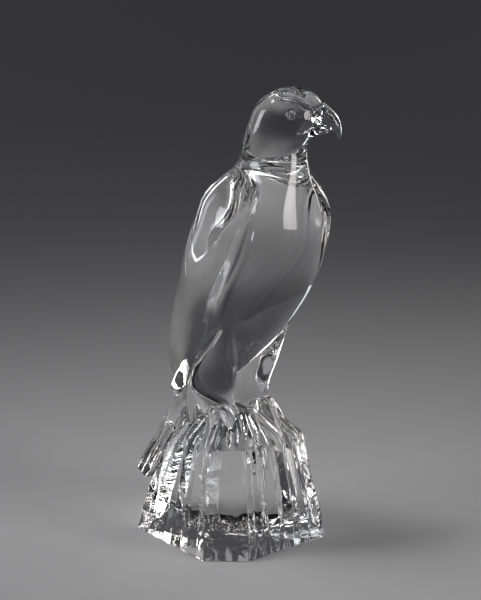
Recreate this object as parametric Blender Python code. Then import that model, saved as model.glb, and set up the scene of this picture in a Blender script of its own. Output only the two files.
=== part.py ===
"""A clear glass eagle, cast in one piece with the rock that it stands on.

The bird faces -Y and turns its head to its own left, towards +X. +Z is up, and the
origin is the middle of the rock's flat underside. Sizes are in metres.
"""

import math

import bmesh
import bpy
import numpy as np

# Driving sizes
ROCK_HEIGHT = 0.079  # underside to the top of the perch
ROCK_REACH = 0.052  # from the origin to the rock's farthest corner
BIRD_HEIGHT = 0.186  # perch to crown
HEAD_TURN = math.radians(45)  # of the head, to the bird's own left
WING_LIFT = 0.0040  # the folded wing stands this far off the breast
WING_ROUND = 0.0095  # width of the wing's rounded front edge
FEATHERS = 5  # long feathers across the tail
EYE_RADIUS = 0.0023
EYE_SINK = 0.0013  # depth of its hollow
BEAK_SQUARE = 0.82  # 1 gives the beak an elliptical section, less makes it squarer

# The figure is drawn in shares of its own height: one unit is a 190th of it.
UNIT = BIRD_HEIGHT / 190
ROCK_UNIT = ROCK_HEIGHT / 79
REACH_UNIT = ROCK_REACH / 52

# How finely the surfaces are cut up
BODY_RINGS = 54
BREAST_STEPS = 8
EDGE_STEPS = 4
WING_STEPS = 10
LIMB_RINGS = 12
LIMB_SIDES = 16
HEAD_RINGS = 12
DROP_RINGS = 8
DROP_SIDES = 9

# The body, neck and crown, one row for each station up the leaning spine, in units.
# back and up: centre of the ring, from the middle of the perch. tilt: how far its front
# hangs, in degrees. wide, front, behind: its half axes. ahead: shift to where it faces.
BODY = (
    (43, -28, 30, 8, 6, 8, 0),
    (34, -14, 29, 11.8, 9.3, 12.5, 0),
    (25.5, 0, 28, 17.2, 11.4, 15.4, 0),
    (18.5, 15, 27, 21.4, 16, 20.9, 0),
    (11.5, 30, 27, 24.2, 22, 25, 0),
    (4, 45, 27, 27, 28.6, 27.4, 0),
    (-5.5, 60, 26, 30.4, 33.3, 28.7, 0),
    (-15.5, 75, 26, 35, 34.5, 29.8, 0),
    (-23, 90, 25, 36.7, 36.5, 30.9, 0),
    (-29.5, 105, 24, 35.2, 35, 30.6, 0),
    (-34.5, 119, 21, 33.9, 31.2, 28.6, 0),
    (-38.5, 131, 16, 30.2, 26, 24.6, 0),
    (-40.5, 143, 1, 19, 21, 22.4, 0),
    (-43.2, 153, -14, 15.2, 18.7, 21.2, -0.5),
    (-45.5, 162, -4, 13.7, 19.8, 18.2, -1),
    (-46.5, 170, 0, 13.7, 19.2, 17.9, 1),
    (-47, 177, 0, 13.8, 18.6, 18.1, 3.4),
    (-47, 182.5, 0, 12.8, 16.8, 16.8, 5.8),
    (-47, 187, 0, 8.8, 11.8, 11.8, 6.6),
    (-47, 189.4, 0, 4.3, 5.2, 5.2, 6.4),
    (-47, 190, 0, 0, 0, 0, 6.6),
)

# Where the wing's front edge runs, by station: degrees round the ring from the front.
WING_EDGE = (150, 120, 82, 66, 58, 56.5, 57, 57, 56, 53, 49, 43.5, 40.5, 38, 38, 38, 38, 38, 38, 38, 38)
WING_RAISED = (0, 1, 1, 1, 1, 1, 1, 1, 1, 1, 0.9, 0.35, 0, 0, 0, 0, 0, 0, 0, 0, 0)
TURNED = (0, 0, 0, 0, 0, 0, 0, 0, 0, 0, 0, 0.08, 0.3, 0.65, 0.92, 1, 1, 1, 1, 1, 1)
SQUARED = (1, 1, 1, 1, 1, 1, 1, 1, 1, 1, 1, 1, 0.97, 0.93, 0.86, 0.83, 0.83, 0.86, 0.92, 1, 1)  # 1 is an ellipse

# Limbs: one row for each station. x, y, z: centre, z from the perch. tilt: of the ring,
# in degrees. wide, deep: half axes. They are in units, in the bird's or the head's frame.
THIGH = (
    (24, -35.5, 62.3, 27, 0.6, 0.8),
    (19.3, -24, 49.6, 27, 4.3, 5.8),
    (16, -15.4, 37.2, 24, 7.7, 9.6),
    (13.8, -7.2, 25, 20, 10.4, 13.2),
    (12, 0, 12, 14, 12, 15.5),
    (12, 2.5, 1, 8, 12.6, 15.8),
    (12, 4, -12, 0, 12.5, 14),
)
UPPER_BEAK = (
    # forward, sideways, up, tilt, half width, half height
    (8, 0, 174.6, 0, 11, 8.2),
    (15, 0, 174.9, 2, 10.1, 7.5),
    (20, 0, 175.5, 8, 8.5, 6.8),
    (24.6, 0, 174.9, 22, 6.6, 5.7),
    (28.2, 0, 172.5, 42, 5, 4.4),
    (30.6, 0, 168.6, 66, 3.5, 3.3),
    (32, 0, 165.3, 80, 2, 2),
    (33, 0, 162.2, 84, 0.5, 0.5),
)
LOWER_BEAK = (
    (8, 0, 165.2, 0, 8.6, 4.2),
    (15, 0, 165.6, 0, 7.2, 3.9),
    (21, 0, 166.8, -3, 5.2, 2.9),
    (25.5, 0, 167.3, -6, 3.6, 2.1),
    (28, 0, 167.2, -10, 0.9, 0.6),
)
BROW = (
    (-3, 10.6, 184.8, 0, 0.5, 0.4),
    (3, 11.2, 184.5, 2, 1.6, 1.5),
    (9, 10.9, 183.9, 6, 1.9, 1.8),
    (14.5, 9.9, 182.2, 12, 1.9, 1.6),
    (19, 7.8, 180.6, 12, 1.7, 1.3),
    (24, 4.8, 179, 12, 0.5, 0.4),
)
TOE = (
    # along the toe, 0, above the perch, tilt, half width, half height
    (0, 0, -1.5, 0, 4.6, 4.2),
    (8, 0, -2, 14, 4.2, 3.6),
    (14, 0, -5.5, 40, 3.7, 3),
    (19, 0, -12, 56, 2.7, 2.1),
    (22.5, 0, -18, 62, 0.6, 0.6),
)
DROP = (
    # along the drop, 0, above its start, tilt, half width, half height
    (0, 0, 0, 14, 0.5, 0.4),
    (6.5, 0, -2.2, 30, 2.6, 1.8),
    (14, 0, -7.6, 38, 3.7, 2.3),
    (21, 0, -13, 42, 3.9, 2.5),
    (25, 0, -17.5, 62, 3.3, 2.2),
    (26.6, 0, -23, 78, 2, 1.6),
    (27.4, 0, -28, 82, 0.5, 0.4),
)
CHEEK = 13.4  # half width of the head at the eyes, in units
TOES = ((38, 0.88), (5, 1.08), (-27, 0.96))  # degrees outwards from straight ahead, share of the length
FOOT = (13, -4)  # sideways and back from the middle of the perch, in units

# Long drops of glass that run from the perch down the front of the rock: bearing and reach of
# the upper end, the way it runs, share of the length. Bearings are from the front towards +X.
DROPS = (
    (-72, 15, -80, 0.85),
    (-46, 16, -56, 1),
    (-26, 16, -40, 0.9),
    (-14, 15, -22, 0.75),
    (-6, 15, -8, 1),
    (14, 12, 22, 0.9),
    (44, 12.5, 44, 1),
)
DROP_START = 0.037  # share of ROCK_HEIGHT from the perch down to a drop's upper end

# The tail's slab, from under the wing tips down the back of the rock.
# back and up from the perch, of its upper side; half width; thickness; all in units
TAIL = (
    (12, 9.5, 13, 16),
    (21, 3, 17, 16),
    (34, -6, 19, 15),
    (44, -22, 19.5, 14),
    (55.5, -38, 21, 13),
    (66, -53, 22, 12),
)
TAIL_SLOPE = 56  # degrees that the slab falls
FEATHER_RISE = 1.1

# The rock's corners, one row each going round: bearing from the front towards +X in degrees,
# reach at the foot, height and reach of the knee, of the shoulder, and of the crest, and how
# many flutes' edges cut the side after it into strips. Reaches are in 52nds of ROCK_REACH,
# heights in 79ths of ROCK_HEIGHT.
ROCK = (
    (-131, 53, 24, 47, 50, 36, 70, 20, 8),
    (-53, 51, 20, 49.5, 61, 42, 74, 26, 1),
    (-24, 51, 20, 49.5, 61, 41, 74, 25, 10),
    (44, 53.5, 14, 52.5, 55, 42, 73, 23, 3),
    (67, 50, 12, 49, 57, 41, 73, 23, 5),
    (110, 47, 18, 45.5, 56, 39, 72, 24, 3),
    (150, 46, 22, 44, 52, 38, 71, 25, 1),
    (-168, 45, 24, 43, 50, 38, 71, 25, 2),
)
FLUTE_DEPTH = (0.7, 2, 3, 1.4)  # at the foot, knee, shoulder and crest, in 52nds of ROCK_REACH
FLUTE_STRAY = (0, 7, 4, 1)  # how far a flute's heights stray, in 79ths of ROCK_HEIGHT
FLUTE_SEED = 5


def clear_scene():
    for obj in list(bpy.data.objects):
        bpy.data.objects.remove(obj)


def spline(keys, at):
    """A natural cubic spline through evenly spaced rows of keys, read at the places in at."""
    keys = np.asarray(keys, float)
    n = len(keys)
    system = np.eye(n)
    right = np.zeros_like(keys)
    for i in range(1, n - 1):
        system[i, i - 1 : i + 2] = 1, 4, 1
        right[i] = 6 * (keys[i - 1] - 2 * keys[i] + keys[i + 1])
    bend = np.linalg.solve(system, right)
    i = np.clip(np.floor(at).astype(int), 0, n - 2)
    share = (at - i).reshape(-1, *[1] * (keys.ndim - 1))
    rest = 1 - share
    return (
        keys[i] * rest
        + keys[i + 1] * share
        + bend[i] * (rest**3 - rest) / 6
        + bend[i + 1] * (share**3 - share) / 6
    )


def body_keys():
    """The stations, and two more mirrored past the crown, so that it closes smoothly."""
    rows = np.array(BODY, float)
    past = rows[[-2, -3]].copy()
    past[:, 3:6] *= -1
    past[:, 0] = 2 * rows[-1, 0] - past[:, 0]
    return np.vstack([rows, past])


def with_last_repeated(row):
    return np.array(list(row) + [row[-1], row[-1]], float)


def round_the_ring(edge, rim):
    """Places round half a ring, in radians from the front, with loops along the wing's edge."""
    front = np.linspace(0, 1, BREAST_STEPS + 1)[:-1] * edge
    rounded = edge + np.linspace(0, 1, EDGE_STEPS + 1)[:-1] ** 1.6 * rim
    wing = np.linspace(edge + rim, math.pi, WING_STEPS + 1)
    return np.concatenate([front, rounded, wing])


def squared(wave, power):
    """A sine or cosine pushed out towards 1, so that an ellipse fills out towards its corners."""
    return np.sign(wave) * np.abs(wave) ** power


def body_rings():
    """Points of the body, ring by ring from the tail to the crown, and round each ring."""
    at = np.linspace(0, len(BODY) - 1, BODY_RINGS + 1)
    row = spline(body_keys(), at)
    edge = np.radians(spline(with_last_repeated(WING_EDGE), at))
    raised = np.clip(spline(with_last_repeated(WING_RAISED), at), 0, 1) * WING_LIFT
    turn = np.clip(spline(with_last_repeated(TURNED), at), 0, 1) * HEAD_TURN
    corners = spline(with_last_repeated(SQUARED), at)
    rings = []
    for k in range(len(at)):
        back, up, tilt, wide, front, behind, ahead = row[k]
        size = max((wide + front) / 2, 2) * UNIT
        rim = min(WING_ROUND / size, (math.pi - edge[k]) * 0.8)
        half = round_the_ring(edge[k], rim)
        angle = np.concatenate([half, 2 * math.pi - half[-2:0:-1]])
        fold = np.minimum(angle, 2 * math.pi - angle)
        over = np.clip((fold - edge[k]) / rim, 0, 1)
        lift = raised[k] * (over * (2 - over)) ** 1.25
        lift -= raised[k] * 0.25 * np.exp(-(((math.pi - fold) * size / 0.011) ** 2))
        depth = np.where(np.cos(fold) > 0, front, behind) * UNIT
        sideways = squared(np.sin(angle), corners[k]) * (wide * UNIT + lift)
        forward = squared(np.cos(angle), corners[k]) * (depth + lift) + ahead * UNIT
        flat = forward * math.cos(math.radians(tilt))
        x = sideways * math.cos(turn[k]) + flat * math.sin(turn[k])
        y = sideways * math.sin(turn[k]) - flat * math.cos(turn[k])
        z = -forward * math.sin(math.radians(tilt))
        centre = np.array([0, back * UNIT, up * UNIT + ROCK_HEIGHT])
        rings.append(np.stack([x, y, z], axis=1) + centre)
    return rings


def limb_rings(rows, rings, sides, along_x, power=1):
    """Rounded rings through the rows. They face along x, or up and down when not along_x."""
    row = spline(rows, np.linspace(0, len(rows) - 1, rings + 1))
    turn = np.linspace(0, 2 * math.pi, sides + 1)[:-1]
    out = []
    for x, y, z, tilt, wide, deep in row:
        lean = math.radians(tilt)
        wide, deep = max(wide, 0.3), max(deep, 0.3)
        across, other = squared(np.cos(turn), power) * wide, squared(np.sin(turn), power) * deep
        if along_x:
            points = np.stack([x + other * math.sin(lean), y + across, z + other * math.cos(lean)], 1)
        else:
            points = np.stack([x + across, y - other * math.cos(lean), z - other * math.sin(lean)], 1)
        out.append(points * UNIT)
    return out


def turned(points, angle, centre):
    """Points drawn with x ahead and y to the right, placed ahead of centre, angle to the left of -Y."""
    ahead, across, up = points[:, 0], points[:, 1], points[:, 2]
    x = ahead * math.sin(angle) - across * math.cos(angle)
    y = -ahead * math.cos(angle) - across * math.sin(angle)
    return np.stack([x, y, up], 1) + np.array(centre)


def mirrored(points):
    return points * np.array([-1, 1, 1])


def tail_rings():
    """Rings of the tail's slab: feathers across its upper side, and a flat underside."""
    steps = FEATHERS * 6
    across = np.linspace(-1, 1, steps + 1)
    slope = math.radians(TAIL_SLOPE)
    rise = np.abs(np.sin(across * FEATHERS * math.pi / 2 + FEATHERS % 2 * math.pi / 2)) ** 0.6
    rounding = (1 - np.abs(across) ** 6) * 2.2
    rings = []
    for back, up, wide, thick in spline(TAIL, np.linspace(0, len(TAIL) - 1, 7)):
        above = rise * FEATHER_RISE + rounding - 3
        under = np.full(4, -thick)
        place = np.concatenate([across, np.linspace(0.94, -0.94, 4)]) * wide
        high = np.concatenate([above, under])
        y = back + high * math.sin(slope)
        z = up + high * math.cos(slope)
        rings.append(np.stack([place, y, z], 1) * UNIT + np.array([0, 0, ROCK_HEIGHT]))
    return rings


def rock_corner(row):
    """A corner's points at the foot, knee, shoulder and crest."""
    bearing = math.radians(row[0])
    reach = np.array([row[1], row[3], row[5], row[7]]) * REACH_UNIT
    height = np.array([0, row[2], row[4], row[6]]) * ROCK_UNIT
    return np.stack([math.sin(bearing) * reach, -math.cos(bearing) * reach, height], 1)


def rock_rings():
    """The rock's outline at its foot, knee, shoulder and crest, and the middle of its top."""
    chance = np.random.default_rng(FLUTE_SEED)
    columns = []
    for row, after in zip(ROCK, ROCK[1:] + ROCK[:1]):
        here, there = rock_corner(row), rock_corner(after)
        strips = row[8]
        columns.append(here)
        for i in range(1, strips):
            share = (i + chance.uniform(-0.2, 0.2)) / strips
            column = here * (1 - share) + there * share
            outwards = column[:, :2] / np.linalg.norm(column[:, :2], axis=1)[:, None]
            groove = chance.uniform(0.7, 1.2) if i % 2 else chance.uniform(-0.5, 0)
            column[:, :2] -= outwards * (np.array(FLUTE_DEPTH) * groove * REACH_UNIT)[:, None]
            column[:, 2] += np.array(FLUTE_STRAY) * ROCK_UNIT * chance.uniform(-1, 1, 4)
            columns.append(column)
    rings = [np.array(ring) for ring in zip(*columns)]
    rings.append(np.array([[0, 0, ROCK_HEIGHT]]))
    return rings


def solid(name, rings, end_point=False):
    """A closed mesh through the rings: flat at the start, and flat or drawn to a point at the end."""
    mesh = bmesh.new()
    rows = [[mesh.verts.new(p) for p in ring] for ring in rings[: len(rings) - end_point]]
    for low, high in zip(rows, rows[1:]):
        for i in range(len(low)):
            j = (i + 1) % len(low)
            mesh.faces.new((low[i], low[j], high[j], high[i]))
    mesh.faces.new(rows[0][::-1])
    if end_point:
        tip = mesh.verts.new(rings[-1][0])
        last = rows[-1]
        for i in range(len(last)):
            mesh.faces.new((last[i], last[(i + 1) % len(last)], tip))
    else:
        mesh.faces.new(rows[-1])
    bmesh.ops.triangulate(mesh, faces=[f for f in mesh.faces if len(f.verts) == 4])
    bmesh.ops.recalc_face_normals(mesh, faces=mesh.faces)
    data = bpy.data.meshes.new(name)
    mesh.to_mesh(data)
    mesh.free()
    obj = bpy.data.objects.new(name, data)
    bpy.context.scene.collection.objects.link(obj)
    return obj


def head_place(points):
    """From the head's frame to the sculpture's."""
    return turned(points, HEAD_TURN, (0, -47 * UNIT, ROCK_HEIGHT))


def make_head_parts():
    parts = []
    for name, rows in (("upper_beak", UPPER_BEAK), ("lower_beak", LOWER_BEAK)):
        rings = [head_place(r) for r in limb_rings(rows, HEAD_RINGS, LIMB_SIDES, True, BEAK_SQUARE)]
        parts.append(solid(name, rings))
    for side in (-1, 1):
        rows = [(a, b * side, c, d, e, f) for a, b, c, d, e, f in BROW]
        rings = [head_place(r) for r in limb_rings(rows, DROP_RINGS, DROP_SIDES, True)]
        parts.append(solid("brow", rings))
    return parts


def make_legs():
    parts = []
    for side in (-1, 1):
        raise_by = np.array([0, 0, ROCK_HEIGHT])
        thigh = [r + raise_by for r in limb_rings(THIGH, LIMB_RINGS, LIMB_SIDES + 4, False)]
        if side < 0:
            thigh = [mirrored(r) for r in thigh]
        parts.append(solid("thigh", thigh))
        for bearing, share in TOES:
            foot = (side * FOOT[0] * UNIT, FOOT[1] * UNIT, ROCK_HEIGHT)
            angle = math.radians(bearing) * side
            reach = np.array([share, 1, 1])
            rings = [turned(r * reach, angle, foot) for r in limb_rings(TOE, DROP_RINGS, DROP_SIDES, True)]
            parts.append(solid("toe", rings))
    return parts


def make_drops():
    parts = []
    for bearing, reach, way, share in DROPS:
        angle = math.radians(bearing)
        x, y = math.sin(angle) * reach * REACH_UNIT, -math.cos(angle) * reach * REACH_UNIT
        start = (x, y, ROCK_HEIGHT * (1 - DROP_START))
        length = np.array([share, 1, share])
        rings = [turned(r * length, math.radians(way), start) for r in limb_rings(DROP, DROP_RINGS, DROP_SIDES, True)]
        parts.append(solid("drop", rings))
    return parts


def make_eyes():
    """Balls that cut the eyes' shallow hollows."""
    balls = []
    for side in (-1, 1):
        outwards = CHEEK * UNIT + EYE_RADIUS - EYE_SINK
        place = head_place(np.array([[8.4 * UNIT, side * outwards, 177.8 * UNIT]]))[0]
        mesh = bmesh.new()
        bmesh.ops.create_icosphere(mesh, subdivisions=2, radius=EYE_RADIUS)
        bmesh.ops.translate(mesh, verts=mesh.verts, vec=place)
        data = bpy.data.meshes.new("eye")
        mesh.to_mesh(data)
        mesh.free()
        obj = bpy.data.objects.new("eye", data)
        bpy.context.scene.collection.objects.link(obj)
        balls.append(obj)
    return balls


def combine(target, others, operation):
    """Joins the others to the target, or cuts them from it, in one step, and removes them."""
    group = bpy.data.collections.new("others")
    for other in others:
        group.objects.link(other)
    change = target.modifiers.new("combine", "BOOLEAN")
    change.operation = operation
    change.solver = "EXACT"
    change.operand_type = "COLLECTION"
    change.collection = group
    graph = bpy.context.evaluated_depsgraph_get()
    result = bpy.data.meshes.new_from_object(target.evaluated_get(graph))
    target.modifiers.clear()
    target.data = result
    for other in others:
        bpy.data.objects.remove(other)
    bpy.data.collections.remove(group)


def crystal():
    material = bpy.data.materials.new("clear_crystal")
    material.use_nodes = True
    shader = material.node_tree.nodes["Principled BSDF"]
    shader.inputs["Base Color"].default_value = (0.93, 0.95, 0.95, 1)
    shader.inputs["Roughness"].default_value = 0.04
    shader.inputs["Metallic"].default_value = 0
    shader.inputs["IOR"].default_value = 1.54
    shader.inputs["Transmission Weight"].default_value = 1
    return material


def main():
    clear_scene()
    eagle = solid("eagle", body_rings(), end_point=True)
    rock = solid("rock", rock_rings(), end_point=True)
    tail = solid("tail", tail_rings())
    combine(eagle, [tail, rock] + make_drops() + make_legs() + make_head_parts(), "UNION")
    combine(eagle, make_eyes(), "DIFFERENCE")
    eagle.data.materials.clear()
    eagle.data.materials.append(crystal())
    for face in eagle.data.polygons:
        face.use_smooth = True
    eagle.data.set_sharp_from_angle(angle=math.radians(30))


main()
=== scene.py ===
"""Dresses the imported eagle: one skin of clear cast glass, a pale floor, soft lights and the camera."""

import math

import bmesh
import bpy
import numpy as np
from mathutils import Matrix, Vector

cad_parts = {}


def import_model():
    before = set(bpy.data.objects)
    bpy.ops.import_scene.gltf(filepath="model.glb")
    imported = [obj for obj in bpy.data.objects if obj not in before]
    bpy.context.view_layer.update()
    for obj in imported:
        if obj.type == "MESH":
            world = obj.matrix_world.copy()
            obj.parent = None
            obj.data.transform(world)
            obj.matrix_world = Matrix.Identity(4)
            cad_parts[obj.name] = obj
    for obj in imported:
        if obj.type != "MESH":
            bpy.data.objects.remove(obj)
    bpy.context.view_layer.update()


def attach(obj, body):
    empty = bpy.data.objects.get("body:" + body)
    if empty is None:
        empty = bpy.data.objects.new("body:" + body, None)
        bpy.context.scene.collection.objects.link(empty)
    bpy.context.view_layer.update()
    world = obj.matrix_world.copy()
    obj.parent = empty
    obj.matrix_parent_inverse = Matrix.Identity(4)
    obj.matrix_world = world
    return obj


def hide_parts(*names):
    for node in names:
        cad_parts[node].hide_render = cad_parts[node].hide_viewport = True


# Driving sizes
ROCK_HEIGHT = 0.079  # underside to the top of the perch
ROCK_REACH = 0.052  # from the origin to the rock's farthest corner
BIRD_HEIGHT = 0.186  # perch to crown
HEAD_TURN = math.radians(45)  # of the head, to the bird's own left
WING_LIFT = 0.0040  # the folded wing stands this far off the breast
WING_ROUND = 0.0068  # width of the bevel along the wing's front edge
FEATHERS = 5  # long feathers across the tail
BEAK_SQUARE = 0.82  # 1 gives the beak an elliptical section, less makes it squarer

# The figure is drawn in shares of its own height: one unit is a 190th of it.
BIRD_UNITS = 190
UNIT = BIRD_HEIGHT / BIRD_UNITS
ROCK_UNIT = ROCK_HEIGHT / 79
REACH_UNIT = ROCK_REACH / 52
HEAD_AHEAD = 47  # from the middle of the perch to the head's own upright axis, in units

# The skin: the parts fused on a fine grid, smoothed, carved and thinned
SKIN_STEP = 0.0005  # of the grid
SKIN_ROUNDS = 20
SKIN_PULL = 0.5  # share of the way to its neighbours' middle that a point is drawn
SKIN_PUSH = 0.515  # and then put back, a little farther, which keeps the volume
ROCK_FREEDOM = 0.12  # how freely the smoothing moves the rock's points, 1 is fully
HEAD_FREEDOM = 0.5
BIRD_FADE = (-0.004, 0.02)  # above the perch: between the rock's freedom and the bird's
HEAD_FADE = 0.008  # above HEAD_FOOT: between the bird's freedom and the head's
FLAT_SHARE = 0.6  # points lower than this share of SKIN_STEP are laid on the underside
MOST_TRIANGLES = 190000

# The line along the front edge of each wing
WING_LINE_DEPTH = 0.0018
WING_LINE_WIDTH = 0.0026
WING_LINE_FOOT = 0.1  # its lower end, above the floor
WING_LINE_TOP = 0.219
WING_LINE_FADE = 0.01  # height over which it starts and ends

# The head's carving, in units: ahead of the head's axis, and up from the perch. A pair of
# numbers called a start, an end or a fade says where something begins to change and where it is done.
# Six points of BROW_LINE and all of MOUTH_LINE are what a separate program worked out from
# places read by eye in the photograph.
HEAD_FOOT_UNITS = 152  # the carving starts here
HEAD_FOOT = ROCK_HEIGHT + BIRD_HEIGHT * HEAD_FOOT_UNITS / BIRD_UNITS
HEAD_FOOT_FADE = 3
BROW_LINE = (
    (-3, 185.6),
    (0, 185.4),
    (4.5, 185),
    (9.4, 184.6),
    (12, 184.4),
    (14.9, 182.6),
    (18.2, 181),
    (22, 179.6),
)
BROW_RISE = 0.9
BROW_ABOVE = 0.7  # the ridge's middle runs this far above the line
BROW_WIDTH = 0.9
BROW_START = (-3, 4)
BROW_END = (16, 20)
SOCKET_DEPTH = 1.1
SOCKET_EDGE = (0, 0.7)  # below the brow's line
SOCKET_FADE = (1.5, 9)
SOCKET_START = (-4, 2)
SOCKET_END = (17, 22)
EYE_PLACE = (8.4, 177.8)
EYE_RING = 2.3  # radius
EYE_DEPTH = 0.8
EYE_WIDTH = 0.55
EYEBALL_RISE = 0.5
EYE_CORNER = ((10.6, 177.4), (13.4, 176.2))
CORNER_DEPTH = 0.4
CORNER_WIDTH = 0.5
MOUTH_LINE = ((11.7, 166.9), (15, 167.6), (18.3, 168.5), (21.5, 169.7), (24.8, 169.6), (28.1, 168.6))
MOUTH_DEPTH = 0.7
MOUTH_WIDTH = 0.65
CERE_LINE = ((21.5, 181), (20.6, 176.5), (21.2, 171.5))
BEAK_CREASE = ((22.5, 175.6), (29, 175.1))
CERE_DEPTH = 0.4
CERE_WIDTH = 0.6
NOSTRIL = (21.5, 173)
NOSTRIL_DEPTH = 0.9
NOSTRIL_WIDTH = 0.9
CHEEK_START = (2.5, 5)  # sideways from the head's middle: nothing is carved nearer to it
BEAK_START = 14
BEAK_TAPER = 0.12  # ahead of BEAK_START the carving comes this much nearer for each unit

# The glass and the floor
GLASS_COLOUR = (0.985, 0.99, 0.99, 1)
GLASS_IOR = 1.54
POLISH_SCALE = 30
ROUGHEST = 0.03
RIPPLE_SCALE = 55
RIPPLE_STRENGTH = 0.05
RIPPLE_HEIGHT = 0.0006
FLOOR_SIZE = 6
FLOOR_GAP = 0.0003  # air under the glass
FLOOR_ROUGHNESS = 0.75
FLOOR_CLOUDS = 3
FLOOR_TINTS = ((0.60, 0.60, 0.61, 1), (0.64, 0.64, 0.65, 1))

# Softboxes round the object: name, bearing from the front towards +X in degrees, height and
# distance of its middle, width and height of the box, watts, height it points at, colour, spread
FRONT_SOFTBOXES = (
    ("left_softbox", -110, 0.36, 1.1, 0.4, 0.6, 1.05, 0.3, (0.97, 0.98, 1), 80),
    ("right_softbox", 20, 0.37, 0.72, 0.3, 0.74, 1.1, 0.37, (1, 0.96, 0.95), 80),
)
BACK_SOFTBOXES = (
    ("back_left_softbox", -160, 0.4, 1.0, 0.2, 0.8, 0.08, 0.3, (0.92, 0.96, 1), 50),
    ("back_right_softbox", 105, 0.4, 1.0, 0.2, 0.8, 0.24, 0.3, (1, 0.95, 0.88), 50),
)
TOP_SOFTBOX_PLACE = (-0.25, 0.1, 1.0)
TOP_SOFTBOX_SIZE = 0.3
TOP_SOFTBOX_WATTS = 0.33
TOP_SOFTBOX_TARGET = 0.13
TOP_SOFTBOX_SPREAD = 60
WHITE = (1, 1, 1)
STUDIO_COLOUR = (0.05, 0.05, 0.053, 1)

# View
PHOTO_SIZE = (481, 600)
CAMERA_BEARING = -36
CAMERA_LIFT = 16
CAMERA_DISTANCE = 1.8
CAMERA_PIXELS = 1800  # pixels to a metre at the object
CAMERA_SENSOR = 36
CAMERA_NEAR = 0.05
AIM_HEIGHT = 0.132  # this height on the object's axis is seen at AIM_PIXEL
AIM_PIXEL = (230, 307)

# How finely the surfaces are cut up
BODY_RINGS = 270
BREAST_STEPS = 56
EDGE_STEPS = 18
WING_STEPS = 76
LIMB_RINGS = 60
LIMB_SIDES = 68
HEAD_RINGS = 44
DROP_RINGS = 26
DROP_SIDES = 24
THIGH_SIDES = 72
TAIL_RINGS = 7
FEATHER_STEPS = 6
EDGE_CROWDING = 1.6  # more than 1 draws the rows of points together at the wing's front edge
RIM_LIMIT = 0.8  # most of the way from the wing's edge to the spine that the bevel takes up
SMALLEST_RING = 2
SMALLEST_LIMB = 0.3

# The groove down the spine between the wings
SPINE_DEPTH = 0.25  # share of WING_LIFT
SPINE_WIDTH = 0.011

# The body, neck and crown, one row for each station up the leaning spine, in units.
# back and up: centre of the ring, from the middle of the perch. tilt: how far its front
# hangs, in degrees. wide, front, behind: its half axes. ahead: shift to where it faces.
# The half axes of stations 2 to 17 and the tilts of stations 11 to 15 come from a separate
# program's fit to an outline traced by eye. They were rounded, and a few changed by hand.
BODY = (
    (43, -28, 30, 8, 6, 8, 0),
    (34, -14, 29, 11.8, 9.3, 12.5, 0),
    (25.5, 0, 28, 17.2, 11.4, 15.4, 0),
    (18.5, 15, 27, 21.4, 16, 20.9, 0),
    (11.5, 30, 27, 24.2, 22, 25, 0),
    (4, 45, 27, 27, 28.6, 27.4, 0),
    (-5.5, 60, 26, 30.4, 33.3, 28.7, 0),
    (-15.5, 75, 26, 35, 34.5, 29.8, 0),
    (-23, 90, 25, 36.7, 36.5, 30.9, 0),
    (-29.5, 105, 24, 35.2, 35, 30.6, 0),
    (-34.5, 119, 21, 33.9, 31.2, 28.6, 0),
    (-38.5, 131, 16, 30.2, 26, 24.6, 0),
    (-40.5, 143, 1, 19, 21, 22.4, 0),
    (-43.2, 153, -14, 15.2, 18.7, 21.2, -0.5),
    (-45.5, 162, -4, 13.7, 19.8, 18.2, -1),
    (-46.5, 170, 0, 13.7, 19.2, 17.9, 1),
    (-47, 177, 0, 13.8, 18.6, 18.1, 3.4),
    (-47, 182.5, 0, 12.8, 16.8, 16.8, 5.8),
    (-47, 187, 0, 8.8, 11.8, 11.8, 6.6),
    (-47, 189.4, 0, 4.3, 5.2, 5.2, 6.4),
    (-47, 190, 0, 0, 0, 0, 6.6),
)

# Where the wing's front edge runs, by station: degrees round the ring from the front.
# Stations 3 to 13 hold results worked out for stations 2 to 12, so the edge lies farther back than in the
# photograph, most at the wing's tip.
WING_EDGE = (150, 120, 82, 66, 58, 56.5, 57, 57, 56, 53, 49, 43.5, 40.5, 38, 38, 38, 38, 38, 38, 38, 38)
WING_RAISED = (0, 1, 1, 1, 1, 1, 1, 1, 1, 1, 0.9, 0.35, 0, 0, 0, 0, 0, 0, 0, 0, 0)
TURNED = (0, 0, 0, 0, 0, 0, 0, 0, 0, 0, 0, 0.08, 0.3, 0.65, 0.92, 1, 1, 1, 1, 1, 1)
# How the ring's corners fill out: 1 is an ellipse, and less is squarer.
SQUARED = (1, 1, 1, 1, 1, 1, 1, 1, 1, 1, 1, 1, 0.97, 0.93, 0.86, 0.83, 0.83, 0.86, 0.92, 1, 1)

# Limbs: one row for each station. x, y, z: centre, z from the perch. tilt: of the ring,
# in degrees. wide, deep: half axes. They are in units, in the bird's or the head's frame.
THIGH = (
    (24, -35.5, 62.3, 27, 0.6, 0.8),
    (19.3, -24, 49.6, 27, 4.3, 5.8),
    (16, -15.4, 37.2, 24, 7.7, 9.6),
    (13.8, -7.2, 25, 20, 10.4, 13.2),
    (12, 0, 12, 14, 12, 15.5),
    (12, 2.5, 1, 8, 12.6, 15.8),
    (12, 4, -12, 0, 12.5, 14),
)
UPPER_BEAK = (
    # forward, sideways, up, tilt, half width, half height
    (8, 0, 174.6, 0, 11, 8.2),
    (15, 0, 174.9, 2, 10.1, 7.5),
    (20, 0, 175.5, 8, 8.5, 6.8),
    (24.6, 0, 174.9, 22, 6.6, 5.7),
    (28.2, 0, 172.5, 42, 5, 4.4),
    (30.6, 0, 168.6, 66, 3.5, 3.3),
    (32, 0, 165.3, 80, 2, 2),
    (33, 0, 162.2, 84, 0.5, 0.5),
)
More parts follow.
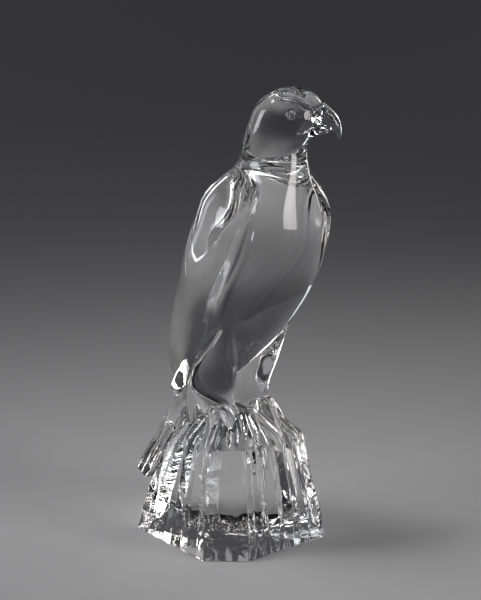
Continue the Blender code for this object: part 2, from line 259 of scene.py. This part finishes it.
LOWER_BEAK = (
    (8, 0, 165.2, 0, 8.6, 4.2),
    (15, 0, 165.6, 0, 7.2, 3.9),
    (21, 0, 166.8, -3, 5.2, 2.9),
    (25.5, 0, 167.3, -6, 3.6, 2.1),
    (28, 0, 167.2, -10, 0.9, 0.6),
)
TOE = (
    # along the toe, 0, above the perch, tilt, half width, half height
    (0, 0, -1.5, 0, 4.6, 4.2),
    (8, 0, -2, 14, 4.2, 3.6),
    (14, 0, -5.5, 40, 3.7, 3),
    (19, 0, -12, 56, 2.7, 2.1),
    (22.5, 0, -18, 62, 0.6, 0.6),
)
DROP = (
    # along the drop, 0, above its start, tilt, half width, half height
    (0, 0, 0, 14, 0.5, 0.4),
    (6.5, 0, -2.2, 30, 2.6, 1.8),
    (14, 0, -7.6, 38, 3.7, 2.3),
    (21, 0, -13, 42, 3.9, 2.5),
    (25, 0, -17.5, 62, 3.3, 2.2),
    (26.6, 0, -23, 78, 2, 1.6),
    (27.4, 0, -28, 82, 0.5, 0.4),
)
TOES = ((38, 0.88), (5, 1.08), (-27, 0.96))  # degrees outwards from straight ahead, share of the length
FOOT = (13, -4)  # sideways and back from the middle of the perch, in units

# Long drops of glass that run from the perch down the front of the rock: bearing and reach of
# the upper end, the way it runs, share of the length. Bearings are from the front towards +X.
DROPS = (
    (-72, 15, -80, 0.85),
    (-46, 16, -56, 1),
    (-26, 16, -40, 0.9),
    (-14, 15, -22, 0.75),
    (-6, 15, -8, 1),
    (14, 12, 22, 0.9),
    (44, 12.5, 44, 1),
)
DROP_START = 0.037  # share of ROCK_HEIGHT from the perch down to a drop's upper end

# The tail's slab, from under the wing tips down the back of the rock.
# back and up from the perch, of its upper side; half width; thickness; all in units
TAIL = (
    (12, 9.5, 13, 16),
    (21, 3, 17, 16),
    (34, -6, 19, 15),
    (44, -22, 19.5, 14),
    (55.5, -38, 21, 13),
    (66, -53, 22, 12),
)
TAIL_SLOPE = 56  # degrees that the slab falls
FEATHER_RISE = 1.1
FEATHER_SHAPE = 0.6  # less makes the feathers flatter, with narrower grooves
TAIL_CROWN = 2.2  # the middle of the upper side stands this far above its sides
TAIL_CROWN_SHAPE = 6
TAIL_SINK = 3
TAIL_UNDER_POINTS = 4
TAIL_UNDER_SHARE = 0.94  # width of the underside, as a share of the upper side's

# The rock's corners, one row each going round: bearing from the front towards +X in degrees,
# reach at the foot, height and reach of the knee, of the shoulder, and of the crest, and how
# many flutes' edges cut the side after it into strips. Reaches are in 52nds of ROCK_REACH,
# heights in 79ths of ROCK_HEIGHT.
ROCK = (
    (-131, 53, 24, 47, 50, 36, 70, 20, 8),
    (-53, 51, 20, 49.5, 61, 42, 74, 26, 1),
    (-24, 51, 20, 49.5, 61, 41, 74, 25, 10),
    (44, 53.5, 14, 52.5, 55, 42, 73, 23, 3),
    (67, 50, 12, 49, 57, 41, 73, 23, 5),
    (110, 47, 18, 45.5, 56, 39, 72, 24, 3),
    (150, 46, 22, 44, 52, 38, 71, 25, 1),
    (-168, 45, 24, 43, 50, 38, 71, 25, 2),
)
FLUTE_DEPTH = (0.7, 2, 3, 1.4)  # at the foot, knee, shoulder and crest, in 52nds of ROCK_REACH
FLUTE_STRAY = (0, 7, 4, 1)  # how far a flute's heights stray, in 79ths of ROCK_HEIGHT
FLUTE_SEED = 5
FLUTE_SHIFT = 0.2  # how far a flute's edge strays sideways, as a share of a strip
GROOVE_SHARES = (0.7, 1.2)  # of FLUTE_DEPTH, drawn for the edges that are cut in
RIDGE_SHARES = (-0.5, 0)  # and for those that stand out between them


def spline(keys, at):
    """A natural cubic spline through evenly spaced rows of keys, read at the places in at."""
    keys = np.asarray(keys, float)
    n = len(keys)
    system = np.eye(n)
    right = np.zeros_like(keys)
    for i in range(1, n - 1):
        system[i, i - 1 : i + 2] = 1, 4, 1
        right[i] = 6 * (keys[i - 1] - 2 * keys[i] + keys[i + 1])
    bend = np.linalg.solve(system, right)
    i = np.clip(np.floor(at).astype(int), 0, n - 2)
    share = (at - i).reshape(-1, *[1] * (keys.ndim - 1))
    rest = 1 - share
    return (
        keys[i] * rest
        + keys[i + 1] * share
        + bend[i] * (rest**3 - rest) / 6
        + bend[i + 1] * (share**3 - share) / 6
    )


def body_keys():
    """The stations, and two more mirrored past the crown, so that it closes smoothly."""
    rows = np.array(BODY, float)
    past = rows[[-2, -3]].copy()
    past[:, 3:6] *= -1
    past[:, 0] = 2 * rows[-1, 0] - past[:, 0]
    return np.vstack([rows, past])


def with_last_repeated(row):
    """One value for each station, and for the two past the crown."""
    return np.array(list(row) + [row[-1], row[-1]], float)


def round_the_ring(edge, rim):
    """Places round half a ring, in radians from the front, with loops along the wing's edge."""
    front = np.linspace(0, 1, BREAST_STEPS + 1)[:-1] * edge
    rounded = edge + np.linspace(0, 1, EDGE_STEPS + 1)[:-1] ** EDGE_CROWDING * rim
    wing = np.linspace(edge + rim, math.pi, WING_STEPS + 1)
    return np.concatenate([front, rounded, wing])


def squared(wave, power):
    """A sine or cosine pushed out towards 1, so that an ellipse fills out towards its corners."""
    return np.sign(wave) * np.abs(wave) ** power


def body_rings():
    """Points of the body, ring by ring from the tail to the crown, and round each ring."""
    at = np.linspace(0, len(BODY) - 1, BODY_RINGS + 1)
    row = spline(body_keys(), at)
    edge = np.radians(spline(with_last_repeated(WING_EDGE), at))
    raised = np.clip(spline(with_last_repeated(WING_RAISED), at), 0, 1) * WING_LIFT
    turn = np.clip(spline(with_last_repeated(TURNED), at), 0, 1) * HEAD_TURN
    corners = spline(with_last_repeated(SQUARED), at)
    rings = []
    for k in range(len(at)):
        back, up, tilt, wide, front, behind, ahead = row[k]
        size = max((wide + front) / 2, SMALLEST_RING) * UNIT
        rim = min(WING_ROUND / size, (math.pi - edge[k]) * RIM_LIMIT)
        half = round_the_ring(edge[k], rim)
        angle = np.concatenate([half, 2 * math.pi - half[-2:0:-1]])
        fold = np.minimum(angle, 2 * math.pi - angle)
        over = np.clip((fold - edge[k]) / rim, 0, 1)
        lift = raised[k] * over
        lift -= raised[k] * SPINE_DEPTH * np.exp(-(((math.pi - fold) * size / SPINE_WIDTH) ** 2))
        depth = np.where(np.cos(fold) > 0, front, behind) * UNIT
        sideways = squared(np.sin(angle), corners[k]) * (wide * UNIT + lift)
        forward = squared(np.cos(angle), corners[k]) * (depth + lift) + ahead * UNIT
        flat = forward * math.cos(math.radians(tilt))
        x = sideways * math.cos(turn[k]) + flat * math.sin(turn[k])
        y = sideways * math.sin(turn[k]) - flat * math.cos(turn[k])
        z = -forward * math.sin(math.radians(tilt))
        centre = np.array([0, back * UNIT, up * UNIT + ROCK_HEIGHT])
        rings.append(np.stack([x, y, z], axis=1) + centre)
    return rings


def limb_rings(rows, rings, sides, along_x, power=1):
    """Rounded rings through the rows. They face along x, or up and down when not along_x."""
    row = spline(rows, np.linspace(0, len(rows) - 1, rings + 1))
    turn = np.linspace(0, 2 * math.pi, sides + 1)[:-1]
    out = []
    for x, y, z, tilt, wide, deep in row:
        lean = math.radians(tilt)
        wide, deep = max(wide, SMALLEST_LIMB), max(deep, SMALLEST_LIMB)
        across = squared(np.cos(turn), power) * wide
        other = squared(np.sin(turn), power) * deep
        if along_x:
            points = np.stack([x + other * math.sin(lean), y + across, z + other * math.cos(lean)], 1)
        else:
            points = np.stack([x + across, y - other * math.cos(lean), z - other * math.sin(lean)], 1)
        out.append(points * UNIT)
    return out


def turned(points, angle, centre):
    """Points drawn with x ahead and y to the right, placed ahead of centre, angle to the left of -Y."""
    ahead, across, up = points[:, 0], points[:, 1], points[:, 2]
    x = ahead * math.sin(angle) - across * math.cos(angle)
    y = -ahead * math.cos(angle) - across * math.sin(angle)
    return np.stack([x, y, up], 1) + np.array(centre)


def mirrored(points):
    """The same on the bird's other side."""
    return points * np.array([-1, 1, 1])


def tail_rings():
    """Rings of the tail's slab: feathers across its upper side, and a flat underside."""
    steps = FEATHERS * FEATHER_STEPS
    across = np.linspace(-1, 1, steps + 1)
    slope = math.radians(TAIL_SLOPE)
    rise = np.abs(np.sin(across * FEATHERS * math.pi / 2 + FEATHERS % 2 * math.pi / 2)) ** FEATHER_SHAPE
    rounding = (1 - np.abs(across) ** TAIL_CROWN_SHAPE) * TAIL_CROWN
    rings = []
    for back, up, wide, thick in spline(TAIL, np.linspace(0, len(TAIL) - 1, TAIL_RINGS)):
        above = rise * FEATHER_RISE + rounding - TAIL_SINK
        under = np.full(TAIL_UNDER_POINTS, -thick)
        back_across = np.linspace(TAIL_UNDER_SHARE, -TAIL_UNDER_SHARE, TAIL_UNDER_POINTS)
        place = np.concatenate([across, back_across]) * wide
        high = np.concatenate([above, under])
        y = back + high * math.sin(slope)
        z = up + high * math.cos(slope)
        rings.append(np.stack([place, y, z], 1) * UNIT + np.array([0, 0, ROCK_HEIGHT]))
    return rings


def rock_corner(row):
    """A corner's points at the foot, knee, shoulder and crest."""
    bearing = math.radians(row[0])
    reach = np.array([row[1], row[3], row[5], row[7]]) * REACH_UNIT
    height = np.array([0, row[2], row[4], row[6]]) * ROCK_UNIT
    return np.stack([math.sin(bearing) * reach, -math.cos(bearing) * reach, height], 1)


def rock_rings():
    """The rock's outline at its foot, knee, shoulder and crest, and the middle of its top."""
    chance = np.random.default_rng(FLUTE_SEED)
    columns = []
    for row, after in zip(ROCK, ROCK[1:] + ROCK[:1]):
        here, there = rock_corner(row), rock_corner(after)
        strips = row[8]
        columns.append(here)
        for i in range(1, strips):
            share = (i + chance.uniform(-FLUTE_SHIFT, FLUTE_SHIFT)) / strips
            column = here * (1 - share) + there * share
            outwards = column[:, :2] / np.linalg.norm(column[:, :2], axis=1)[:, None]
            cut = chance.uniform(*GROOVE_SHARES) if i % 2 else chance.uniform(*RIDGE_SHARES)
            column[:, :2] -= outwards * (np.array(FLUTE_DEPTH) * cut * REACH_UNIT)[:, None]
            column[:, 2] += np.array(FLUTE_STRAY) * ROCK_UNIT * chance.uniform(-1, 1, len(FLUTE_STRAY))
            columns.append(column)
    rings = [np.array(ring) for ring in zip(*columns)]
    rings.append(np.array([[0, 0, ROCK_HEIGHT]]))
    return rings


def placed(mesh, name):
    """An object in the scene made from a bmesh, which is freed."""
    data = bpy.data.meshes.new(name)
    mesh.to_mesh(data)
    mesh.free()
    obj = bpy.data.objects.new(name, data)
    bpy.context.scene.collection.objects.link(obj)
    return obj


def solid(name, rings, end_point=False):
    """A closed mesh through the rings: flat at the start, and flat or drawn to a point at the end."""
    mesh = bmesh.new()
    rows = [[mesh.verts.new(p) for p in ring] for ring in rings[: len(rings) - end_point]]
    for low, high in zip(rows, rows[1:]):
        for i in range(len(low)):
            j = (i + 1) % len(low)
            mesh.faces.new((low[i], low[j], high[j], high[i]))
    mesh.faces.new(rows[0][::-1])
    if end_point:
        tip = mesh.verts.new(rings[-1][0])
        last = rows[-1]
        for i in range(len(last)):
            mesh.faces.new((last[i], last[(i + 1) % len(last)], tip))
    else:
        mesh.faces.new(rows[-1])
    bmesh.ops.triangulate(mesh, faces=[f for f in mesh.faces if len(f.verts) == 4])
    bmesh.ops.recalc_face_normals(mesh, faces=mesh.faces)
    return placed(mesh, name)


def head_place(points):
    """From the head's frame to the sculpture's."""
    return turned(points, HEAD_TURN, (0, -HEAD_AHEAD * UNIT, ROCK_HEIGHT))


def make_head_parts():
    """The two halves of the beak. The skull is the upper end of the body."""
    parts = []
    for name, rows in (("upper_beak", UPPER_BEAK), ("lower_beak", LOWER_BEAK)):
        rings = [head_place(r) for r in limb_rings(rows, HEAD_RINGS, LIMB_SIDES, True, BEAK_SQUARE)]
        parts.append(solid(name, rings))
    return parts


def make_legs():
    """A thigh and three toes on each side."""
    parts = []
    for side in (-1, 1):
        raise_by = np.array([0, 0, ROCK_HEIGHT])
        thigh = [r + raise_by for r in limb_rings(THIGH, LIMB_RINGS, THIGH_SIDES, False)]
        if side < 0:
            thigh = [mirrored(r) for r in thigh]
        parts.append(solid("thigh", thigh))
        for bearing, share in TOES:
            foot = (side * FOOT[0] * UNIT, FOOT[1] * UNIT, ROCK_HEIGHT)
            angle = math.radians(bearing) * side
            reach = np.array([share, 1, 1])
            straight = limb_rings(TOE, DROP_RINGS, DROP_SIDES, True)
            rings = [turned(r * reach, angle, foot) for r in straight]
            parts.append(solid("toe", rings))
    return parts


def make_drops():
    """The long drops of glass over the upper edge of the rock."""
    parts = []
    for bearing, reach, way, share in DROPS:
        angle = math.radians(bearing)
        x = math.sin(angle) * reach * REACH_UNIT
        y = -math.cos(angle) * reach * REACH_UNIT
        start = (x, y, ROCK_HEIGHT * (1 - DROP_START))
        length = np.array([share, 1, share])
        straight = limb_rings(DROP, DROP_RINGS, DROP_SIDES, True)
        rings = [turned(r * length, math.radians(way), start) for r in straight]
        parts.append(solid("drop", rings))
    return parts


def fused(parts, name):
    """One closed skin over all the parts, with every edge and meeting line softened as in cast glass."""
    mesh = bmesh.new()
    for part in parts:
        mesh.from_mesh(part.data)
        bpy.data.objects.remove(part)
    obj = placed(mesh, name)
    remesh = obj.modifiers.new("skin", "REMESH")
    remesh.mode = "VOXEL"
    remesh.voxel_size = SKIN_STEP
    remesh.adaptivity = 0
    apply_modifiers(obj)
    return obj


def apply_modifiers(obj):
    """The object's mesh becomes what its modifiers make of it."""
    graph = bpy.context.evaluated_depsgraph_get()
    result = bpy.data.meshes.new_from_object(obj.evaluated_get(graph))
    obj.modifiers.clear()
    obj.data = result


def edge_pairs(mesh):
    """The two vertices of each edge."""
    pairs = np.empty(len(mesh.edges) * 2, dtype=np.int64)
    mesh.edges.foreach_get("vertices", pairs)
    return pairs.reshape(-1, 2)


def places(mesh):
    """The vertices' places, one row each."""
    flat = np.empty(len(mesh.vertices) * 3)
    mesh.vertices.foreach_get("co", flat)
    return flat.reshape(-1, 3)


def put_places(mesh, points):
    mesh.vertices.foreach_set("co", points.ravel())
    mesh.update()


def press_in(mesh, points, depth):
    """Each point goes inwards along its normal, by its own depth."""
    points -= vertex_normals(mesh) * depth[:, None]
    put_places(mesh, points)


def relaxed(points, pairs, rounds, weight):
    """Points eased towards their neighbours and back, which takes out ripples and keeps the volume."""
    count = np.bincount(pairs.ravel(), minlength=len(points)).astype(float)[:, None]
    weight = weight[:, None]
    for turn in range(2 * rounds):
        total = np.zeros_like(points)
        for axis in range(3):
            total[:, axis] = np.bincount(pairs[:, 0], points[pairs[:, 1], axis], len(points))
            total[:, axis] += np.bincount(pairs[:, 1], points[pairs[:, 0], axis], len(points))
        pull = SKIN_PULL if turn % 2 == 0 else -SKIN_PUSH
        points = points + (total / count - points) * weight * pull
    return points


def smooth_skin(obj):
    """The skin without the grid's steps: freely on the body, less on the head, hardly on the rock."""
    mesh = obj.data
    points = places(mesh)
    pairs = edge_pairs(mesh)
    on_bird = step(ROCK_HEIGHT + BIRD_FADE[0], ROCK_HEIGHT + BIRD_FADE[1], points[:, 2])
    on_head = step(HEAD_FOOT, HEAD_FOOT + HEAD_FADE, points[:, 2])
    free = ROCK_FREEDOM + (1 - ROCK_FREEDOM) * on_bird
    free *= 1 - (1 - HEAD_FREEDOM) * on_head
    points = relaxed(points, pairs, SKIN_ROUNDS, free)
    points[points[:, 2] < SKIN_STEP * FLAT_SHARE, 2] = 0
    put_places(mesh, points)


def vertex_normals(mesh):
    flat = np.empty(len(mesh.vertices) * 3)
    mesh.vertex_normals.foreach_get("vector", flat)
    return flat.reshape(-1, 3)


def in_head_frame(points):
    """Ahead, sideways to the right side and up from the perch, in units, for each point."""
    from_axis = points - np.array([0, -HEAD_AHEAD * UNIT, ROCK_HEIGHT])
    ahead = from_axis[:, 0] * math.sin(HEAD_TURN) - from_axis[:, 1] * math.cos(HEAD_TURN)
    across = -from_axis[:, 0] * math.cos(HEAD_TURN) - from_axis[:, 1] * math.sin(HEAD_TURN)
    return ahead / UNIT, across / UNIT, from_axis[:, 2] / UNIT


def away_from_line(ahead, up, line):
    """How far each place is from a line through the given points, in units."""
    nearest = np.full(len(ahead), np.inf)
    for (a, b), (c, d) in zip(line, line[1:]):
        along = ((ahead - a) * (c - a) + (up - b) * (d - b)) / ((c - a) ** 2 + (d - b) ** 2)
        along = np.clip(along, 0, 1)
        away = np.hypot(ahead - a - along * (c - a), up - b - along * (d - b))
        nearest = np.minimum(nearest, away)
    return nearest


def groove(distance, depth, width):
    """The depth of a rounded groove at a distance from its middle."""
    return depth * np.exp(-((distance / width) ** 2))


def head_carving(ahead, across, up):
    """How deep the head's carving goes at each point, in units."""
    brow = np.interp(ahead, [p[0] for p in BROW_LINE], [p[1] for p in BROW_LINE])
    under = brow - up
    depth = SOCKET_DEPTH * step(*SOCKET_EDGE, under) * (1 - step(*SOCKET_FADE, under))
    depth *= step(*SOCKET_START, ahead) * (1 - step(*SOCKET_END, ahead))
    ridge = groove(under + BROW_ABOVE, BROW_RISE, BROW_WIDTH)
    depth -= ridge * step(*BROW_START, ahead) * (1 - step(*BROW_END, ahead))
    from_eye = np.hypot(ahead - EYE_PLACE[0], up - EYE_PLACE[1])
    depth += groove(from_eye - EYE_RING, EYE_DEPTH, EYE_WIDTH)
    depth -= EYEBALL_RISE * (1 - step(0, EYE_RING, from_eye))
    depth += groove(away_from_line(ahead, up, EYE_CORNER), CORNER_DEPTH, CORNER_WIDTH)
    depth += groove(away_from_line(ahead, up, MOUTH_LINE), MOUTH_DEPTH, MOUTH_WIDTH)
    depth += groove(away_from_line(ahead, up, CERE_LINE), CERE_DEPTH, CERE_WIDTH)
    depth += groove(away_from_line(ahead, up, BEAK_CREASE), CERE_DEPTH, CERE_WIDTH)
    from_nostril = np.hypot(ahead - NOSTRIL[0], up - NOSTRIL[1])
    depth += groove(from_nostril, NOSTRIL_DEPTH, NOSTRIL_WIDTH)
    side = step(*CHEEK_START, np.abs(across) + BEAK_TAPER * np.maximum(ahead - BEAK_START, 0))
    return depth * side * step(HEAD_FOOT_UNITS, HEAD_FOOT_UNITS + HEAD_FOOT_FADE, up)


def carve_head(obj):
    """Brow, eye, mouth, nostril and the edge of the beak, pressed into the skin along its normals."""
    mesh = obj.data
    points = places(mesh)
    press_in(mesh, points, head_carving(*in_head_frame(points)) * UNIT)


def carve_wing_edges(obj, rings):
    """A line pressed in along the front edge of each folded wing, from the shoulder to the wing's tip."""
    mesh = obj.data
    points = places(mesh)
    edge = [ring[BREAST_STEPS] for ring in rings]
    line = np.array([place for place in edge if WING_LINE_FOOT < place[2] < WING_LINE_TOP])
    line = line[np.argsort(line[:, 2])]
    height = points[:, 2]
    sideways = np.abs(points[:, 0]) - np.abs(np.interp(height, line[:, 2], line[:, 0]))
    backwards = points[:, 1] - np.interp(height, line[:, 2], line[:, 1])
    depth = groove(np.hypot(sideways, backwards), WING_LINE_DEPTH, WING_LINE_WIDTH)
    starts = step(WING_LINE_FOOT, WING_LINE_FOOT + WING_LINE_FADE, height)
    ends = 1 - step(WING_LINE_TOP - WING_LINE_FADE, WING_LINE_TOP, height)
    depth *= starts * ends
    press_in(mesh, points, depth)


def step(low, high, x):
    """0 below low, 1 above high, and smooth between them."""
    share = np.clip((x - low) / (high - low), 0, 1)
    return share * share * (3 - 2 * share)


def thinned(obj):
    """Fewer triangles where the glass is nearly flat."""
    triangles = len(obj.data.polygons) * 2
    if triangles > MOST_TRIANGLES:
        thin = obj.modifiers.new("thin", "DECIMATE")
        thin.ratio = MOST_TRIANGLES / triangles
        thin.use_collapse_triangulate = True
        apply_modifiers(obj)


def crystal():
    """Clear polished glass: faint ripples of the casting, and roughness that varies a little."""
    material = bpy.data.materials.new("clear_crystal")
    material.use_nodes = True
    nodes = material.node_tree.nodes
    links = material.node_tree.links
    shader = nodes["Principled BSDF"]
    shader.inputs["Base Color"].default_value = GLASS_COLOUR
    shader.inputs["IOR"].default_value = GLASS_IOR
    shader.inputs["Transmission Weight"].default_value = 1
    where = nodes.new("ShaderNodeTexCoord")
    cloud = nodes.new("ShaderNodeTexNoise")
    cloud.inputs["Scale"].default_value = POLISH_SCALE
    cloud.inputs["Detail"].default_value = 2
    polish = nodes.new("ShaderNodeMapRange")
    polish.inputs["To Min"].default_value = 0.0
    polish.inputs["To Max"].default_value = ROUGHEST
    links.new(where.outputs["Object"], cloud.inputs["Vector"])
    links.new(cloud.outputs["Fac"], polish.inputs["Value"])
    links.new(polish.outputs["Result"], shader.inputs["Roughness"])
    ripple = nodes.new("ShaderNodeTexNoise")
    ripple.inputs["Scale"].default_value = RIPPLE_SCALE
    ripple.inputs["Detail"].default_value = 1
    bump = nodes.new("ShaderNodeBump")
    bump.inputs["Strength"].default_value = RIPPLE_STRENGTH
    bump.inputs["Distance"].default_value = RIPPLE_HEIGHT
    links.new(where.outputs["Object"], ripple.inputs["Vector"])
    links.new(ripple.outputs["Fac"], bump.inputs["Height"])
    links.new(bump.outputs["Normal"], shader.inputs["Normal"])
    return material


def floor_material():
    """Plain, pale and matt, a little cloudy."""
    material = bpy.data.materials.new("pale_floor")
    material.use_nodes = True
    nodes = material.node_tree.nodes
    shader = nodes["Principled BSDF"]
    shader.inputs["Roughness"].default_value = FLOOR_ROUGHNESS
    grain = nodes.new("ShaderNodeTexNoise")
    grain.inputs["Scale"].default_value = FLOOR_CLOUDS
    tint = nodes.new("ShaderNodeMix")
    tint.data_type = "RGBA"
    tint.inputs["A"].default_value = FLOOR_TINTS[0]
    tint.inputs["B"].default_value = FLOOR_TINTS[1]
    links = material.node_tree.links
    links.new(grain.outputs["Fac"], tint.inputs["Factor"])
    links.new(tint.outputs["Result"], shader.inputs["Base Color"])
    return material


def make_floor():
    """The plain floor, staged so that it is no part of the model."""
    bpy.ops.mesh.primitive_plane_add(size=FLOOR_SIZE, location=(0, 0, -FLOOR_GAP))
    floor = bpy.context.object
    floor.name = "floor"
    floor.data.materials.append(floor_material())


def pointed_at(obj, place, target):
    """Puts a light at a place and turns it to face the target."""
    obj.location = place
    obj.rotation_mode = "QUATERNION"
    obj.rotation_quaternion = (Vector(target) - Vector(place)).to_track_quat("-Z", "Y")


def round_the_object(bearing, height, distance):
    """A place at a bearing from the front towards +X, in degrees, and a height above the floor."""
    angle = math.radians(bearing)
    return (math.sin(angle) * distance, -math.cos(angle) * distance, height)


def soft_light(name, place, width, height, watts, aim, colour, spread):
    """A softbox that faces a point on the object's axis, aim above the floor."""
    light = bpy.data.lights.new(name, "AREA")
    light.shape = "RECTANGLE"
    light.size = width
    light.size_y = height
    light.energy = watts
    light.color = colour
    light.spread = math.radians(spread)
    obj = bpy.data.objects.new(name, light)
    bpy.context.scene.collection.objects.link(obj)
    pointed_at(obj, place, (0, 0, aim))


def ring_of_softboxes(rows):
    for name, bearing, height, distance, *box in rows:
        soft_light(name, round_the_object(bearing, height, distance), *box)


def make_top_softbox():
    soft_light(
        "top_softbox",
        TOP_SOFTBOX_PLACE,
        TOP_SOFTBOX_SIZE,
        TOP_SOFTBOX_SIZE,
        TOP_SOFTBOX_WATTS,
        TOP_SOFTBOX_TARGET,
        WHITE,
        TOP_SOFTBOX_SPREAD,
    )


def make_lights():
    """Softboxes round and above the object, in a faintly lit studio."""
    ring_of_softboxes(FRONT_SOFTBOXES)
    make_top_softbox()
    ring_of_softboxes(BACK_SOFTBOXES)
    world = bpy.data.worlds.new("studio")
    world.use_nodes = True
    world.node_tree.nodes["Background"].inputs["Color"].default_value = STUDIO_COLOUR
    bpy.context.scene.world = world
    bpy.context.scene.view_settings.view_transform = "Standard"


def make_camera():
    """The photograph's view: from the bird's front right, a little above it."""
    camera = bpy.data.cameras.new("camera")
    camera.sensor_width = CAMERA_SENSOR
    camera.lens = CAMERA_PIXELS * CAMERA_DISTANCE * CAMERA_SENSOR / PHOTO_SIZE[1]
    camera.clip_start = CAMERA_NEAR
    obj = bpy.data.objects.new("camera", camera)
    bpy.context.scene.collection.objects.link(obj)
    bearing, lift = math.radians(CAMERA_BEARING), math.radians(CAMERA_LIFT)
    back = Vector((math.sin(bearing) * math.cos(lift), -math.cos(bearing) * math.cos(lift), math.sin(lift)))
    across = Vector((math.cos(bearing), math.sin(bearing), 0))
    above = back.cross(across)
    aim = Vector((0, 0, AIM_HEIGHT))
    right_of_aim = (PHOTO_SIZE[0] / 2 - AIM_PIXEL[0]) / CAMERA_PIXELS
    above_aim = (AIM_PIXEL[1] - PHOTO_SIZE[1] / 2) / CAMERA_PIXELS
    target = aim + across * right_of_aim + above * above_aim
    obj.location = target + back * CAMERA_DISTANCE
    obj.rotation_mode = "QUATERNION"
    obj.rotation_quaternion = (-back).to_track_quat("-Z", "Y")
    bpy.context.scene.camera = obj


def make_eagle():
    """The whole sculpture as one piece, smoothed, carved and thinned."""
    body = body_rings()
    bird = solid("bird", body, end_point=True)
    rock = solid("rock", rock_rings(), end_point=True)
    tail = solid("tail", tail_rings())
    parts = [bird, rock, tail] + make_drops() + make_legs() + make_head_parts()
    eagle = fused(parts, "crystal_eagle")
    smooth_skin(eagle)
    carve_head(eagle)
    carve_wing_edges(eagle, body)
    thinned(eagle)
    eagle.data.materials.clear()
    eagle.data.materials.append(crystal())
    for face in eagle.data.polygons:
        face.use_smooth = True
    return eagle


def main():
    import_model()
    eagle = make_eagle()
    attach(eagle, "root")
    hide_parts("eagle")
    make_floor()
    make_lights()
    make_camera()


main()
